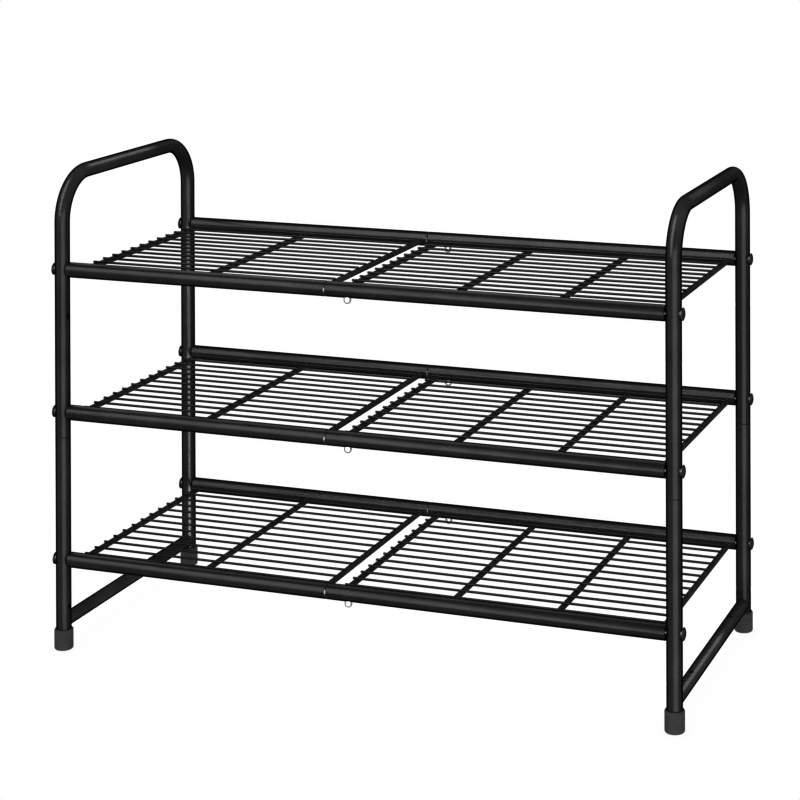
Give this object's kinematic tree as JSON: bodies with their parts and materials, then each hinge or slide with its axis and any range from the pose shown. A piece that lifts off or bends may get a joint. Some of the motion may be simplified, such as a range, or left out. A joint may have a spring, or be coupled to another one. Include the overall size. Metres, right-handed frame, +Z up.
{
  "type": "tiered shoe rack",
  "caption": "Open tiered shoe rack: bent round tube side frames with carry handles, and wire deck half shelves that join at mid rail with snap buttons.",
  "frame": {"origin": "floor level at the centre of the footprint", "axes": "+X along the rack's width towards the right side frame, +Y towards the rear, +Z up; the front faces -Y"},
  "size_m": [0.7044, 0.3, 0.5164],
  "materials": {
    "frame_coat": "black powder coat, semi gloss",
    "shelf_coat": "black powder coat, semi gloss",
    "black_fastener": "black finished steel",
    "insert_steel": "dark zinc plated steel",
    "button_steel": "bright nickel plated steel",
    "spring_steel": "bare spring steel",
    "foot_rubber": "matte black rubber"
  },
  "bodies": {
    "root": {"bottom_front_button_spring": "spring_steel", "bottom_left_crossbars": "shelf_coat", "bottom_left_deck_wires": "shelf_coat", "bottom_left_front_rail": "shelf_coat", "bottom_left_rear_rail": "shelf_coat", "bottom_rail_bolts": "black_fastener", "bottom_rail_inserts": "insert_steel", "bottom_rear_button_spring": "spring_steel", "bottom_right_crossbars": "shelf_coat", "bottom_right_deck_wires": "shelf_coat", "bottom_right_front_rail": "shelf_coat", "bottom_right_rear_rail": "shelf_coat", "bottom_saddle_washers": "black_fastener", "left_base_bar": "frame_coat", "left_front_foot_cap": "foot_rubber", "left_front_lower_leg": "frame_coat", "left_rear_foot_cap": "foot_rubber", "left_rear_lower_leg": "frame_coat", "left_upper_frame": "frame_coat", "middle_front_button_spring": "spring_steel", "middle_left_crossbars": "shelf_coat", "middle_left_deck_wires": "shelf_coat", "middle_left_front_rail": "shelf_coat", "middle_left_rear_rail": "shelf_coat", "middle_rail_bolts": "black_fastener", "middle_rail_inserts": "insert_steel", "middle_rear_button_spring": "spring_steel", "middle_right_crossbars": "shelf_coat", "middle_right_deck_wires": "shelf_coat", "middle_right_front_rail": "shelf_coat", "middle_right_rear_rail": "shelf_coat", "middle_saddle_washers": "black_fastener", "right_base_bar": "frame_coat", "right_front_foot_cap": "foot_rubber", "right_front_lower_leg": "frame_coat", "right_rear_foot_cap": "foot_rubber", "right_rear_lower_leg": "frame_coat", "right_upper_frame": "frame_coat", "top_front_button_spring": "spring_steel", "top_left_crossbars": "shelf_coat", "top_left_deck_wires": "shelf_coat", "top_left_front_rail": "shelf_coat", "top_left_rear_rail": "shelf_coat", "top_rail_bolts": "black_fastener", "top_rail_inserts": "insert_steel", "top_rear_button_spring": "spring_steel", "top_right_crossbars": "shelf_coat", "top_right_deck_wires": "shelf_coat", "top_right_front_rail": "shelf_coat", "top_right_rear_rail": "shelf_coat", "top_saddle_washers": "black_fastener"},
    "bottom_front_button": {"bottom_front_snap_button": "button_steel"},
    "bottom_rear_button": {"bottom_rear_snap_button": "button_steel"},
    "middle_front_button": {"middle_front_snap_button": "button_steel"},
    "middle_rear_button": {"middle_rear_snap_button": "button_steel"},
    "top_front_button": {"top_front_snap_button": "button_steel"},
    "top_rear_button": {"top_rear_snap_button": "button_steel"}
  },
  "joints": [
    {"name": "bottom_front_button_press", "type": "slide", "parent": "root", "child": "bottom_front_button", "axis": [0, 0, 1], "range_m": [0, 0.007], "stiffness_N_per_m": 600, "springref_m": -0.004, "deforming": ["bottom_front_button_spring"]},
    {"name": "bottom_rear_button_press", "type": "slide", "parent": "root", "child": "bottom_rear_button", "axis": [0, 0, 1], "range_m": [0, 0.007], "stiffness_N_per_m": 600, "springref_m": -0.004, "deforming": ["bottom_rear_button_spring"]},
    {"name": "middle_front_button_press", "type": "slide", "parent": "root", "child": "middle_front_button", "axis": [0, 0, 1], "range_m": [0, 0.007], "stiffness_N_per_m": 600, "springref_m": -0.004, "deforming": ["middle_front_button_spring"]},
    {"name": "middle_rear_button_press", "type": "slide", "parent": "root", "child": "middle_rear_button", "axis": [0, 0, 1], "range_m": [0, 0.007], "stiffness_N_per_m": 600, "springref_m": -0.004, "deforming": ["middle_rear_button_spring"]},
    {"name": "top_front_button_press", "type": "slide", "parent": "root", "child": "top_front_button", "axis": [0, 0, 1], "range_m": [0, 0.007], "stiffness_N_per_m": 600, "springref_m": -0.004, "deforming": ["top_front_button_spring"]},
    {"name": "top_rear_button_press", "type": "slide", "parent": "root", "child": "top_rear_button", "axis": [0, 0, 1], "range_m": [0, 0.007], "stiffness_N_per_m": 600, "springref_m": -0.004, "deforming": ["top_rear_button_spring"]}
  ]
}
